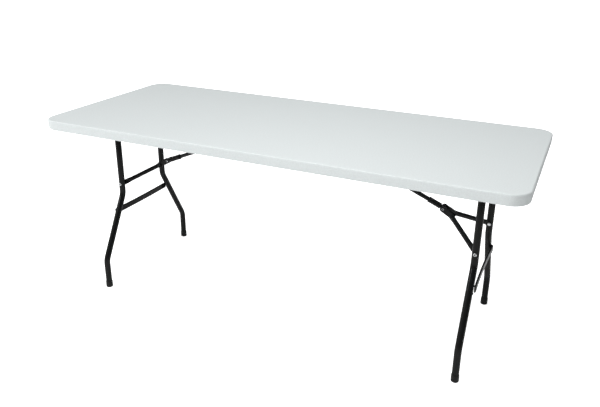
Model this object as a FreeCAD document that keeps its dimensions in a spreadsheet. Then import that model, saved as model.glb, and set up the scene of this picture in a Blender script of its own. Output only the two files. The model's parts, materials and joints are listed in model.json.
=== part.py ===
import FreeCAD, Part
import math
import os
import Sketcher

# Folding banquet table: a hollow blow-moulded top with a deep rim, two folding leg frames of
# bent steel tube, and under each end a brace of one strut, one sliding lock sleeve and a
# two-armed yoke.  Millimetres.  Origin: floor, under the middle of the top.
# +X runs along the top to the right end, +Y to the rear, +Z up.

Vector = FreeCAD.Vector
Rotation = FreeCAD.Rotation

# ---------------------------------------------------------------- driving dimensions
DRIVING = {
    # top
    "table_length": 1829.0,
    "table_width": 762.0,
    "table_height": 750.0,
    "corner_radius": 64.0,
    "rim_depth": 38.0,
    "rim_wall": 22.0,
    "panel_thick": 20.0,
    "skin_thick": 3.0,
    "top_edge_radius": 5.0,
    "rim_edge_radius": 2.5,
    # leg frames
    "leg_inset": 164.5,
    "foot_inset": 100.0,
    "leg_top_spread": 282.0,
    "upper_bend_height": 383.0,
    "lower_bend_height": 126.0,
    "leg_bend_radius": 65.0,
    "tube_diameter": 25.4,
    "tube_wall": 1.2,
    "leg_top_rise": 11.0,
    "pivot_drop": 18.0,
    "axle_diameter": 16.0,
    "axle_wall": 1.5,
    "axle_overhang": 6.0,
    "axle_cap_diameter": 21.0,
    "axle_cap_thick": 4.0,
    "axle_plug_depth": 12.0,
    "crossbar_height": 310.0,
    "crossbar_overlap": -2.0,
    "bar_tall": 24.0,
    "bar_thick": 8.0,
    "foot_cap_diameter": 28.6,
    "foot_cap_height": 28.0,
    "foot_cap_floor": 4.0,
    "foot_cap_round": 3.0,
    # brace
    "rivet_height": 428.0,
    "strut_pivot_offset": 130.0,
    "brace_slack": 1.0,
    "strut_diameter": 16.0,
    "strut_wall": 1.5,
    "strut_overhang": 12.0,
    "strut_flat_thick": 4.4,
    "flat_tall": 22.0,
    "flat_end": 11.0,
    "flat_reach": 14.0,
    "flat_taper": 22.0,
    "lock_diameter": 22.0,
    "lock_length": 50.0,
    "lock_rest_gap": 13.0,
    "arm_diameter": 18.0,
    "arm_wall": 1.5,
    "arm_flat_thick": 4.0,
    "arm_bend_radius": 8.0,
    "arm_flat_run": 5.0,
    "arm_taper": 18.0,
    "knee_flat": 35.0,
    "tab_reach": 12.7,
    "hub_wall": 2.0,
    "hub_length": 50.0,
    "hub_top": 13.5,
    "hub_relief": 18.0,
    "hub_corner": 4.0,
    # under-frame
    "rail_gap": 4.5,
    "rail_tall": 33.0,
    "rail_wall": 1.5,
    "rail_flange": 21.0,
    "rail_lip": 12.0,
    "rail_past_axle": 42.0,
    "bracket_long": 44.0,
    "bracket_wide": 90.0,
    "bracket_plate": 2.0,
    "bracket_hole_inset": 11.0,
    "ear_half": 13.0,
    "ear_drop": 13.0,
    "ear_round": 10.0,
    # pins, rivets, screws
    "pin_diameter": 8.0,
    "pin_head_diameter": 13.0,
    "pin_head_thick": 2.5,
    "rivet_diameter": 7.6,
    "rivet_head_diameter": 13.0,
    "rivet_head_thick": 2.4,
    "rivet_head_round": 1.2,
    "rivet_bore": 5.0,
    "rivet_bore_depth": 12.0,
    "knee_head_diameter": 10.0,
    "knee_head_thick": 2.4,
    "spacer_diameter": 14.0,
    "screw_diameter": 4.8,
    "screw_bite": 0.25,
    "screw_head_diameter": 9.5,
    "screw_head_thick": 2.4,
    "screw_length": 14.0,
    "screw_end_inset": 60.0,
    # clearances
    "running_clearance": 0.05,
    "sleeve_clearance": 0.3,
    "side_clearance": 0.3,
}

doc = FreeCAD.newDocument("folding_table")
sheet = doc.addObject("Spreadsheet::Sheet", "dims")


def fill_sheet(values, first_row):
    """Writes one named plain number to each row of the sheet."""
    for row, (name, value) in enumerate(values.items(), start=first_row):
        sheet.set(f"A{row}", name)
        sheet.set(f"B{row}", str(value))
        sheet.setAlias(f"B{row}", name)
    doc.recompute()


fill_sheet(DRIVING, 1)


def size(formula):
    """The number that a sheet formula gives."""
    return float(sheet.evalExpression(formula))


# Formulas that several pieces share.
PANEL_FACE = "(dims.table_height - dims.panel_thick)"
PIVOT = "(dims.table_height - dims.panel_thick - dims.pivot_drop)"
LEG_X = "(dims.table_length / 2 - dims.leg_inset)"
LEG_TOP_Y = "(dims.leg_top_spread / 2)"
FOOT_Y = "(dims.table_width / 2 - dims.foot_inset)"
RAIL_Y = "(dims.table_width / 2 - dims.foot_inset + dims.foot_cap_diameter / 2 + dims.rail_gap)"
STRUT_X = "dims.strut_pivot_offset"
RIVET_DROP = f"({PIVOT} - dims.rivet_height)"
CHEEK_FACE_Y = "(dims.lock_diameter / 2 + dims.side_clearance)"
PLATE_Y = f"({CHEEK_FACE_Y} + dims.hub_wall + dims.arm_flat_thick / 2)"
TAB_FACE_Y = f"({LEG_TOP_Y} - dims.tube_diameter / 2 - dims.side_clearance)"
TAB_Y = f"({TAB_FACE_Y} - dims.arm_flat_thick / 2)"
EAR_Y = "(dims.strut_flat_thick / 2 + dims.side_clearance)"


# ---------------------------------------------------------------- the brace's closed shape
def brace_values():
    """Strut and yoke lengths that reach the leg when open and lie flat in line when folded.

    The strut pivot, the knee and the leg rivet make a triangle.  Its long side is the distance
    from pivot to rivet; the other two are longer together by the slack, and differ by what the
    folded leg leaves, so both poses close exactly.
    """
    reach = size(f"{LEG_X} - {STRUT_X}")
    drop = size(RIVET_DROP)
    span = math.hypot(reach, drop)
    total = span + size("dims.brace_slack")
    strut = (total + reach - drop) / 2
    yoke = total - strut
    cosine = (strut ** 2 + span ** 2 - yoke ** 2) / (2 * strut * span)
    strut_angle = math.atan2(drop, reach) - math.acos(cosine)
    knee_x = size(STRUT_X) + strut * math.cos(strut_angle)
    knee_z = size(PIVOT) - strut * math.sin(strut_angle)
    yoke_angle = math.atan2(knee_z - size("dims.rivet_height"), size(LEG_X) - knee_x)
    return {
        "strut_length": strut,
        "yoke_length": yoke,
        "strut_angle": math.degrees(strut_angle),
        "yoke_angle": math.degrees(yoke_angle),
        "knee_across": knee_x,
        "knee_height": knee_z,
    }


BRACE = brace_values()
fill_sheet(BRACE, len(DRIVING) + 1)


# ---------------------------------------------------------------- sketch helpers
def plane_of(body, role):
    """One of the body's own origin planes."""
    return [feature for feature in body.Origin.OriginFeatures if feature.Role == role][0]


def new_body(label):
    body = doc.addObject("PartDesign::Body", label)
    body.Label = label
    return body


def new_sketch(body, name, role="XY_Plane", level="0"):
    """An empty sketch on an origin plane, moved along the plane's normal to a level."""
    sketch = body.newObject("Sketcher::SketchObject", name)
    sketch.AttachmentSupport = [(plane_of(body, role), "")]
    sketch.MapMode = "FlatFace"
    sketch.setExpression("AttachmentOffset.Base.z", level)
    return sketch


def turned_sketch(body, name, spot, degrees):
    """A sketch square to a line in the XY plane that passes the spot at an angle from X."""
    sketch = body.newObject("Sketcher::SketchObject", name)
    sketch.AttachmentSupport = [(plane_of(body, "YZ_Plane"), "")]
    sketch.MapMode = "FlatFace"
    turn = Rotation(Vector(0, 1, 0), degrees)
    sketch.AttachmentOffset = FreeCAD.Placement(Vector(spot[1], 0, spot[0]), turn)
    return sketch


def pin_point(sketch, geometry, point, across, up):
    """Holds a sketch point at two sheet formulas from the sketch's origin."""
    for kind, formula in (("DistanceX", across), ("DistanceY", up)):
        constraint = Sketcher.Constraint(kind, -1, 1, geometry, point, size(formula))
        index = sketch.addConstraint(constraint)
        sketch.setExpression(f"Constraints[{index}]", formula)


def set_radius(sketch, geometry, formula):
    index = sketch.addConstraint(Sketcher.Constraint("Radius", geometry, size(formula)))
    sketch.setExpression(f"Constraints[{index}]", formula)


def add_circle(sketch, across, up, radius):
    centre = Vector(size(across), size(up), 0)
    circle = sketch.addGeometry(Part.Circle(centre, Vector(0, 0, 1), size(radius)))
    pin_point(sketch, circle, 3, across, up)
    set_radius(sketch, circle, radius)


def add_polygon(sketch, corners):
    """A closed outline of straight lines, each corner held by two formulas."""
    spots = [Vector(size(across), size(up), 0) for across, up in corners]
    lines = []
    for start, end in zip(spots, spots[1:] + spots[:1]):
        lines.append(sketch.addGeometry(Part.LineSegment(start, end)))
    for index, line in enumerate(lines):
        following = lines[(index + 1) % len(lines)]
        sketch.addConstraint(Sketcher.Constraint("Coincident", line, 2, following, 1))
        pin_point(sketch, line, 1, *corners[index])


def add_rectangle(sketch, left, right, bottom, top):
    add_polygon(sketch, [(left, bottom), (right, bottom), (right, top), (left, top)])


def corner_arc(before, corner, after, radius):
    """The arc tangent to both runs at a corner, and whether it turns to the left."""
    arriving = (corner - before).normalize()
    leaving = (after - corner).normalize()
    left_turn = arriving.cross(leaving).z > 0
    setback = radius * math.tan(arriving.getAngle(leaving) / 2)
    start = corner - arriving * setback
    end = corner + leaving * setback
    toward = Vector(-arriving.y, arriving.x, 0) * (1 if left_turn else -1)
    centre = start + toward * radius
    first, last = (start, end) if left_turn else (end, start)
    angles = [math.atan2(spot.y - centre.y, spot.x - centre.x) for spot in (first, last)]
    circle = Part.Circle(centre, Vector(0, 0, 1), radius)
    return Part.ArcOfCircle(circle, *angles), start, end, left_turn


def add_rounded(sketch, corners, radius, closed=False):
    """Straight runs through the corners, joined by tangent arcs of one radius.

    Each corner is a construction point held by two formulas, and both of its runs pass
    through it, so the line follows the sheet.
    """
    spots = [Vector(size(across), size(up), 0) for across, up in corners]
    count = len(spots)
    bends = range(count) if closed else range(1, count - 1)
    arcs = {}
    for index in bends:
        before, after = spots[index - 1], spots[(index + 1) % count]
        arcs[index] = corner_arc(before, spots[index], after, size(radius))
    runs = []
    for index in range(count if closed else count - 1):
        following = (index + 1) % count
        start = arcs[index][2] if index in arcs else spots[index]
        end = arcs[following][1] if following in arcs else spots[following]
        runs.append(sketch.addGeometry(Part.LineSegment(start, end)))
    for index, (arc, start, end, left_turn) in arcs.items():
        bend = sketch.addGeometry(arc)
        mark = sketch.addGeometry(Part.Point(spots[index]), True)
        arriving, leaving = runs[index - 1], runs[index]
        head, tail = (1, 2) if left_turn else (2, 1)
        sketch.addConstraint(Sketcher.Constraint("Tangent", arriving, 2, bend, head))
        sketch.addConstraint(Sketcher.Constraint("Tangent", bend, tail, leaving, 1))
        set_radius(sketch, bend, radius)
        pin_point(sketch, mark, 1, *corners[index])
        for run in (arriving, leaving):
            sketch.addConstraint(Sketcher.Constraint("PointOnObject", mark, 1, run))
    if not closed:
        pin_point(sketch, runs[0], 1, *corners[0])
        pin_point(sketch, runs[-1], 2, *corners[-1])


def add_rounded_rectangle(sketch, half_across, half_up, radius):
    corners = [
        (f"-({half_across})", f"-({half_up})"),
        (half_across, f"-({half_up})"),
        (half_across, half_up),
        (f"-({half_across})", half_up),
    ]
    add_rounded(sketch, corners, radius, closed=True)


# ---------------------------------------------------------------- feature helpers
def pad(body, sketch, length, both_ways=False):
    feature = body.newObject("PartDesign::Pad", f"{sketch.Name}_pad")
    feature.Profile = sketch
    feature.setExpression("Length", length)
    if both_ways:
        feature.SideType = "Symmetric"
    doc.recompute()
    return feature


def check_cut(body, feature, volume_before):
    doc.recompute()
    if not body.Shape.Volume < volume_before - 1e-6:
        raise RuntimeError(f"{body.Label}: {feature.Label} cuts nothing")
    return feature


def pocket(body, sketch, depth=None):
    """Cuts a sketch away: downwards by a depth, or both ways through everything."""
    doc.recompute()
    volume = body.Shape.Volume
    feature = body.newObject("PartDesign::Pocket", f"{sketch.Name}_pocket")
    feature.Profile = sketch
    if depth is None:
        feature.Type = "ThroughAll"
        feature.SideType = "Symmetric"
    else:
        feature.setExpression("Length", depth)
    return check_cut(body, feature, volume)


def loft(body, first, last):
    feature = body.newObject("PartDesign::AdditiveLoft", f"{first.Name}_loft")
    feature.Profile = first
    feature.Sections = [last]
    feature.Ruled = True
    doc.recompute()
    return feature


def pipe(body, profile, path):
    feature = body.newObject("PartDesign::AdditivePipe", f"{profile.Name}_pipe")
    feature.Profile = profile
    feature.Spine = path
    doc.recompute()
    return feature


def fillet(body, radius, wanted):
    """Rounds each edge of the body's tip for which wanted(edge) is true."""
    base = body.Tip
    names = [f"Edge{index}" for index, edge in enumerate(base.Shape.Edges, 1) if wanted(edge)]
    feature = body.newObject("PartDesign::Fillet", f"{base.Name}_round")
    feature.Base = (base, names)
    feature.setExpression("Radius", radius)
    doc.recompute()
    return feature


def lies_at(edge, axis, place):
    """True where the whole edge lies at one place along an axis (0 is X, 1 is Y, 2 is Z)."""
    box = edge.BoundBox
    low, high = ((box.XMin, box.XMax), (box.YMin, box.YMax), (box.ZMin, box.ZMax))[axis]
    return abs(low - place) < 1e-3 and abs(high - place) < 1e-3


def put(piece, across, along, up, turn=Rotation()):
    """Places a piece by three sheet formulas and a turn."""
    piece.Placement = FreeCAD.Placement(Vector(), turn)
    for axis, formula in (("x", across), ("y", along), ("z", up)):
        piece.setExpression(f"Placement.Base.{axis}", formula)
    doc.recompute()
    return piece


def group(label, members):
    """Identical separate solids in one node."""
    compound = doc.addObject("Part::Compound", label)
    compound.Label = label
    compound.Links = members
    doc.recompute()
    return compound


# ---------------------------------------------------------------- turns and ends
ABOUT_Z = Rotation(Vector(0, 0, 1), 180)
ABOUT_X = Rotation(Vector(1, 0, 0), 180)
TO_FRONT = Rotation(Vector(1, 0, 0), 90)
TO_REAR = Rotation(Vector(1, 0, 0), -90)
STRAIGHT = Rotation()

# name, sign along X and turn of each end: everything at the left end is turned half round.
ENDS = (("right", "", STRAIGHT), ("left", "-", ABOUT_Z))
SIDES = (("front", "-"), ("rear", ""))

nodes = []


def keep(piece):
    """Adds a finished piece to the nodes that are written out."""
    nodes.append(piece)
    return piece


def tilt(name):
    """The turn about Y that lays a brace piece along its own line."""
    return Rotation(Vector(0, 1, 0), size(f"dims.{name}"))


# ---------------------------------------------------------------- top
SCREW_SHARES = (-1.0, -0.6, -0.2, 0.2, 0.6, 1.0)
RAIL_SCREW_Y = f"({RAIL_Y} + dims.rail_flange / 2)"
BRACKET_SCREW_X = "(dims.bracket_long / 2 - dims.bracket_hole_inset)"
BRACKET_SCREW_Y = "(dims.bracket_wide / 2 - dims.bracket_hole_inset)"
RAIL_SCREW_X = f"({LEG_X} - dims.screw_end_inset)"


def rail_screw_spots(side):
    return [(f"({share} * {RAIL_SCREW_X})", f"({side}{RAIL_SCREW_Y})") for share in SCREW_SHARES]


def bracket_screw_spots(end):
    spots = []
    for along in ("-", ""):
        for across in ("-", ""):
            x = f"({end}{STRUT_X} + ({across}{BRACKET_SCREW_X}))"
            spots.append((x, f"({along}{BRACKET_SCREW_Y})"))
    return spots


def make_tabletop():
    """One hollow moulding: a flat panel and a deep rim, with a sealed space all through it."""
    body = new_body("tabletop")
    half_long, half_wide = "dims.table_length / 2", "dims.table_width / 2"

    def rounded(name, level, inset):
        sketch = new_sketch(body, name, level=level)
        add_rounded_rectangle(
            sketch, f"{half_long} - {inset}", f"{half_wide} - {inset}",
            f"dims.corner_radius - {inset}",
        )
        return sketch

    pad(body, rounded("outline", "dims.table_height - dims.rim_depth", "0"), "dims.rim_depth")
    recess = rounded("recess", PANEL_FACE, "dims.rim_wall")
    pocket(body, recess, "dims.rim_depth - dims.panel_thick")
    top, foot = size("dims.table_height"), size("dims.table_height - dims.rim_depth")
    fillet(body, "dims.top_edge_radius", lambda edge: lies_at(edge, 2, top))
    fillet(body, "dims.rim_edge_radius", lambda edge: lies_at(edge, 2, foot))

    hollow = rounded("panel_hollow", "dims.table_height - dims.skin_thick", "dims.skin_thick")
    pocket(body, hollow, "dims.panel_thick - 2 * dims.skin_thick")
    ring = rounded("rim_hollow", f"{PANEL_FACE} + dims.skin_thick", "dims.skin_thick")
    inset = "(dims.rim_wall - dims.skin_thick)"
    add_rounded_rectangle(
        ring, f"{half_long} - {inset}", f"{half_wide} - {inset}", f"dims.corner_radius - {inset}"
    )
    pocket(body, ring, "dims.rim_depth - dims.panel_thick")

    spots = bracket_screw_spots("") + bracket_screw_spots("-")
    for _, side in SIDES:
        spots += rail_screw_spots(side)
    pilots = new_sketch(body, "screw_pilots", level=f"{PANEL_FACE} + dims.skin_thick")
    for across, along in spots:
        add_circle(pilots, across, along, "dims.screw_diameter / 2 - dims.screw_bite")
    pocket(body, pilots, "dims.skin_thick")
    return keep(body)


# ---------------------------------------------------------------- under-frame
def make_side_rail(name, side):
    """A steel channel under one long side: it carries both axles and is screwed to the panel."""
    body = new_body(f"side_rail_{name}")
    web, flange = RAIL_Y, f"{RAIL_Y} + dims.rail_flange"
    lip, inside = f"{RAIL_Y} + dims.rail_lip", f"{RAIL_Y} + dims.rail_wall"
    top, foot = PANEL_FACE, f"{PANEL_FACE} - dims.rail_tall"
    corners = [
        (web, top), (flange, top), (flange, f"{top} - dims.rail_wall"),
        (inside, f"{top} - dims.rail_wall"), (inside, f"{foot} + dims.rail_wall"),
        (lip, f"{foot} + dims.rail_wall"), (lip, foot), (web, foot),
    ]
    section = new_sketch(body, "channel", "YZ_Plane")
    add_polygon(section, [(f"{side}({across})", up) for across, up in corners])
    pad(body, section, f"2 * ({LEG_X} + dims.rail_past_axle)", both_ways=True)

    axle_holes = new_sketch(body, "axle_holes", "XZ_Plane")
    for _, end, _ in ENDS:
        radius = "dims.axle_diameter / 2 + dims.running_clearance"
        add_circle(axle_holes, f"{end}{LEG_X}", PIVOT, radius)
    pocket(body, axle_holes)
    screw_holes = new_sketch(body, "screw_holes", level=PANEL_FACE)
    for across, along in rail_screw_spots(side):
        add_circle(screw_holes, across, along, "dims.screw_diameter / 2 + dims.side_clearance")
    pocket(body, screw_holes, "dims.rail_wall")
    return keep(body)


def make_strut_bracket(name, end):
    """A plate under the panel with two ears that hold the strut's pin.  Origin on the pin."""
    body = new_body(f"strut_bracket_{name}")
    plate = new_sketch(body, "plate", level="dims.pivot_drop - dims.bracket_plate")
    half_long, half_wide = "dims.bracket_long / 2", "dims.bracket_wide / 2"
    add_rectangle(plate, f"-{half_long}", half_long, f"-{half_wide}", half_wide)
    pad(body, plate, "dims.bracket_plate")
    for ear_name, side in SIDES:
        ear = new_sketch(body, f"ear_{ear_name}", level="-dims.ear_drop")
        near, far = f"{side}{EAR_Y}", f"{side}({EAR_Y} + dims.bracket_plate)"
        add_rectangle(ear, "-dims.ear_half", "dims.ear_half", near, far)
        pad(body, ear, "dims.ear_drop + dims.pivot_drop - dims.bracket_plate")
    drop = size("-dims.ear_drop")

    def ear_corner(edge):
        return lies_at(edge, 2, drop) and edge.BoundBox.XLength < 1e-3

    fillet(body, "dims.ear_round", ear_corner)
    pin_hole = new_sketch(body, "pin_hole", "XZ_Plane")
    add_circle(pin_hole, "0", "0", "dims.pin_diameter / 2 + dims.running_clearance")
    pocket(body, pin_hole)
    holes = new_sketch(body, "screw_holes", level="dims.pivot_drop")
    for across in ("-", ""):
        for along in ("-", ""):
            radius = "dims.screw_diameter / 2 + dims.side_clearance"
            add_circle(holes, across + BRACKET_SCREW_X, along + BRACKET_SCREW_Y, radius)
    pocket(body, holes, "dims.bracket_plate")
    return keep(put(body, end + STRUT_X, "0", PIVOT))


def make_strut_pin(name, end):
    """A headed pin across the bracket's ears, upset at its far end."""
    body = new_body(f"strut_pin_{name}")
    reach = f"({EAR_Y} + dims.bracket_plate)"
    shank = new_sketch(body, "shank")
    add_circle(shank, "0", "0", "dims.pin_diameter / 2")
    pad(body, shank, f"2 * {reach}", both_ways=True)
    for head_name, level in (("head", reach), ("tail", f"-{reach} - dims.pin_head_thick")):
        head = new_sketch(body, head_name, level=level)
        add_circle(head, "0", "0", "dims.pin_head_diameter / 2")
        pad(body, head, "dims.pin_head_thick")
    outer = size(f"{reach} + dims.pin_head_thick")
    fillet(body, "dims.rivet_head_round", lambda edge: lies_at(edge, 2, outer))
    fillet(body, "dims.rivet_head_round", lambda edge: lies_at(edge, 2, -outer))
    return keep(put(body, end + STRUT_X, "0", PIVOT, TO_FRONT))


def make_screw(across, along, seat):
    """A screw that points up, with its head's top face at the seat."""
    head = doc.addObject("Part::Cylinder", "screw_head")
    head.setExpression("Radius", "dims.screw_head_diameter / 2")
    head.setExpression("Height", "dims.screw_head_thick")
    head.setExpression("Placement.Base.z", "-dims.screw_head_thick")
    shank = doc.addObject("Part::Cylinder", "screw_shank")
    shank.setExpression("Radius", "dims.screw_diameter / 2")
    shank.setExpression("Height", "dims.screw_length")
    screw = doc.addObject("Part::Fuse", "screw")
    screw.Base = head
    screw.Tool = shank
    return put(screw, across, along, seat)


def make_screws():
    rail_seat = f"{PANEL_FACE} - dims.rail_wall"
    rail_spots = rail_screw_spots("-") + rail_screw_spots("")
    keep(group("rail_screws", [make_screw(x, y, rail_seat) for x, y in rail_spots]))
    bracket_seat = f"{PANEL_FACE} - dims.bracket_plate"
    bracket_spots = bracket_screw_spots("-") + bracket_screw_spots("")
    keep(group("bracket_screws", [make_screw(x, y, bracket_seat) for x, y in bracket_spots]))


# ---------------------------------------------------------------- leg frames
def make_leg(name, end, turn):
    """One bent tube from the axle to its foot.  Origin on the axle, under the top's middle line.

    It drops straight, leans out between its two bends and ends upright in the foot cap.
    """
    body = new_body(f"leg_{name}")
    start = "dims.leg_top_rise"
    path = new_sketch(body, "centre_line", "YZ_Plane")
    corners = [
        (LEG_TOP_Y, start),
        (LEG_TOP_Y, f"dims.upper_bend_height - {PIVOT}"),
        (FOOT_Y, f"dims.lower_bend_height - {PIVOT}"),
        (FOOT_Y, f"dims.foot_cap_floor - {PIVOT}"),
    ]
    add_rounded(path, corners, "dims.leg_bend_radius")
    ring = new_sketch(body, "tube_section", level=start)
    add_circle(ring, "0", LEG_TOP_Y, "dims.tube_diameter / 2")
    add_circle(ring, "0", LEG_TOP_Y, "dims.tube_diameter / 2 - dims.tube_wall")
    pipe(body, ring, path)
    holes = new_sketch(body, "cross_holes", "XZ_Plane")
    add_circle(holes, "0", "0", "dims.axle_diameter / 2 + dims.running_clearance")
    rivet_radius = "dims.rivet_diameter / 2 + dims.running_clearance"
    add_circle(holes, "0", f"-{RIVET_DROP}", rivet_radius)
    pocket(body, holes)
    return keep(put(body, end + LEG_X, "0", PIVOT, turn))


def make_axle(name, end):
    """The tube that joins both leg tops and turns in the side rails."""
    body = new_body(f"axle_tube_{name}")
    ring = new_sketch(body, "ring")
    add_circle(ring, "0", "0", "dims.axle_diameter / 2")
    add_circle(ring, "0", "0", "dims.axle_diameter / 2 - dims.axle_wall")
    length = f"2 * ({RAIL_Y} + dims.rail_wall + dims.axle_overhang)"
    pad(body, ring, length, both_ways=True)
    return keep(put(body, end + LEG_X, "0", PIVOT, TO_FRONT))


def make_axle_cap(end, side, turn):
    """A plug with a wide head that keeps the axle in its rail.  Its head points along +Z."""
    body = new_body("axle_cap")
    plug = new_sketch(body, "plug", level="-dims.axle_plug_depth")
    plug_radius = "dims.axle_diameter / 2 - dims.axle_wall - dims.running_clearance"
    add_circle(plug, "0", "0", plug_radius)
    pad(body, plug, "dims.axle_plug_depth")
    head = new_sketch(body, "head")
    add_circle(head, "0", "0", "dims.axle_cap_diameter / 2")
    pad(body, head, "dims.axle_cap_thick")
    outer = size("dims.axle_cap_thick")
    fillet(body, "dims.rivet_head_round", lambda edge: lies_at(edge, 2, outer))
    seat = f"{side}({RAIL_Y} + dims.rail_wall + dims.axle_overhang)"
    return put(body, end + LEG_X, seat, PIVOT, turn)


def make_crossbar(name, end, turn):
    """A flattened tube across the outer faces of both legs.  Origin on its own middle."""
    body = new_body(f"crossbar_{name}")
    section = new_sketch(body, "flat_oval")
    for inset in ("0", "dims.axle_wall"):
        half_thick = f"dims.bar_thick / 2 - {inset}"
        half_tall = f"dims.bar_tall / 2 - {inset}"
        add_rounded_rectangle(section, half_thick, half_tall, f"0.9 * (dims.bar_thick / 2 - {inset})")
    fall = f"({PIVOT} - dims.crossbar_height)"
    upright = size(f"{PIVOT} - dims.upper_bend_height")
    share = (size(fall) - upright) / size("dims.upper_bend_height - dims.lower_bend_height")
    leg_y = f"({LEG_TOP_Y} + {share} * ({FOOT_Y} - {LEG_TOP_Y}))"
    pad(body, section, f"2 * ({leg_y} + dims.crossbar_overlap)", both_ways=True)
    outward = "(dims.tube_diameter / 2 + dims.bar_thick / 2 + dims.running_clearance)"
    across = f"{end}({LEG_X} + {outward})"
    return keep(put(body, across, "0", "dims.crossbar_height", turn * TO_FRONT))


def make_foot_cap(name, end, side):
    """A plastic cup over the end of a leg, with a thick floor that stands on the ground."""
    body = new_body(f"foot_cap_{name}")
    outside = new_sketch(body, "outside")
    add_circle(outside, "0", "0", "dims.foot_cap_diameter / 2")
    pad(body, outside, "dims.foot_cap_height")
    fillet(body, "dims.foot_cap_round", lambda edge: lies_at(edge, 2, 0))
    socket = new_sketch(body, "socket", level="dims.foot_cap_height")
    add_circle(socket, "0", "0", "dims.tube_diameter / 2 + dims.running_clearance")
    pocket(body, socket, "dims.foot_cap_height - dims.foot_cap_floor")
    return keep(put(body, end + LEG_X, side + FOOT_Y, "0"))


def make_rivet(label, shank, spot, turn):
    """A tubular rivet: its head's seat is the origin, its head points along +Z."""
    body = new_body(label)
    stem = new_sketch(body, "stem", level=f"-{shank}")
    add_circle(stem, "0", "0", "dims.rivet_diameter / 2")
    pad(body, stem, shank)
    head = new_sketch(body, "head")
    add_circle(head, "0", "0", "dims.rivet_head_diameter / 2")
    pad(body, head, "dims.rivet_head_thick")
    outer = size("dims.rivet_head_thick")
    fillet(body, "dims.rivet_head_round", lambda edge: lies_at(edge, 2, outer))
    bore = new_sketch(body, "bore", level="dims.rivet_head_thick")
    add_circle(bore, "0", "0", "dims.rivet_bore / 2")
    pocket(body, bore, "dims.rivet_bore_depth")
    return put(body, *spot, turn)


def make_leg_rivets(name, end):
    """The outer head and shank of the rivet through each leg."""
    members = []
    for side_name, side in SIDES:
        turn = TO_FRONT if side_name == "front" else TO_REAR
        seat = f"{side}({LEG_TOP_Y} + dims.tube_diameter / 2)"
        spot = (end + LEG_X, seat, "dims.rivet_height")
        members.append(make_rivet("leg_rivet", "dims.tube_diameter", spot, turn))
    return keep(group(f"leg_rivets_{name}", members))


# ---------------------------------------------------------------- brace
def flat_section(body, name, level, thick, along="0"):
    """The pressed-flat section, square to X."""
    sketch = new_sketch(body, name, "YZ_Plane", level)
    half = "dims.flat_tall / 2"
    add_rectangle(sketch, f"{along} - {thick} / 2", f"{along} + {thick} / 2", f"-{half}", half)
    return sketch


def round_end(body, place):
    """Rounds the tall edges at one end of a flat, so that it turns about its hole."""
    fillet(
        body, "dims.flat_tall / 2 - 0.1",
        lambda edge: lies_at(edge, 0, place) and edge.BoundBox.ZLength < 1e-3,
    )


def cross_hole(body, places, radius):
    """Holes along Y at places along X."""
    sketch = new_sketch(body, "cross_holes", "XZ_Plane")
    for place in places:
        add_circle(sketch, place, "0", radius)
    pocket(body, sketch)


def make_strut(name, end, turn):
    """A tube from the bracket's pin to the knee.  Origin on the pin, X down its length."""
    body = new_body(f"strut_{name}")
    taper_end = "dims.flat_reach + dims.flat_taper"
    flat = flat_section(body, "flat", "-dims.flat_end", "dims.strut_flat_thick")
    pad(body, flat, "dims.flat_end + dims.flat_reach")
    round_end(body, size("-dims.flat_end"))
    first = flat_section(body, "taper_from", "dims.flat_reach", "dims.strut_flat_thick")
    last = new_sketch(body, "taper_to", "YZ_Plane", taper_end)
    add_circle(last, "0", "0", "dims.strut_diameter / 2")
    loft(body, first, last)
    ring = new_sketch(body, "tube", "YZ_Plane", taper_end)
    add_circle(ring, "0", "0", "dims.strut_diameter / 2")
    add_circle(ring, "0", "0", "dims.strut_diameter / 2 - dims.strut_wall")
    pad(body, ring, f"dims.strut_length + dims.strut_overhang - ({taper_end})")
    cross_hole(body, ["0"], "dims.pin_diameter / 2 + dims.running_clearance")
    cross_hole(body, ["dims.strut_length"], "dims.rivet_diameter / 2 + dims.running_clearance")
    return keep(put(body, end + STRUT_X, "0", PIVOT, turn * tilt("strut_angle")))


def make_lock_sleeve(name, end, turn):
    """The ring that slides on the strut and rests just above the knee.  Origin on the pin."""
    body = new_body(f"lock_sleeve_{name}")
    level = "dims.strut_length - dims.lock_rest_gap - dims.lock_length"
    ring = new_sketch(body, "ring", "YZ_Plane", level)
    add_circle(ring, "0", "0", "dims.lock_diameter / 2")
    add_circle(ring, "0", "0", "dims.strut_diameter / 2 + dims.sleeve_clearance")
    pad(body, ring, "dims.lock_length")
    return keep(put(body, end + STRUT_X, "0", PIVOT, turn * tilt("strut_angle")))


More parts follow.
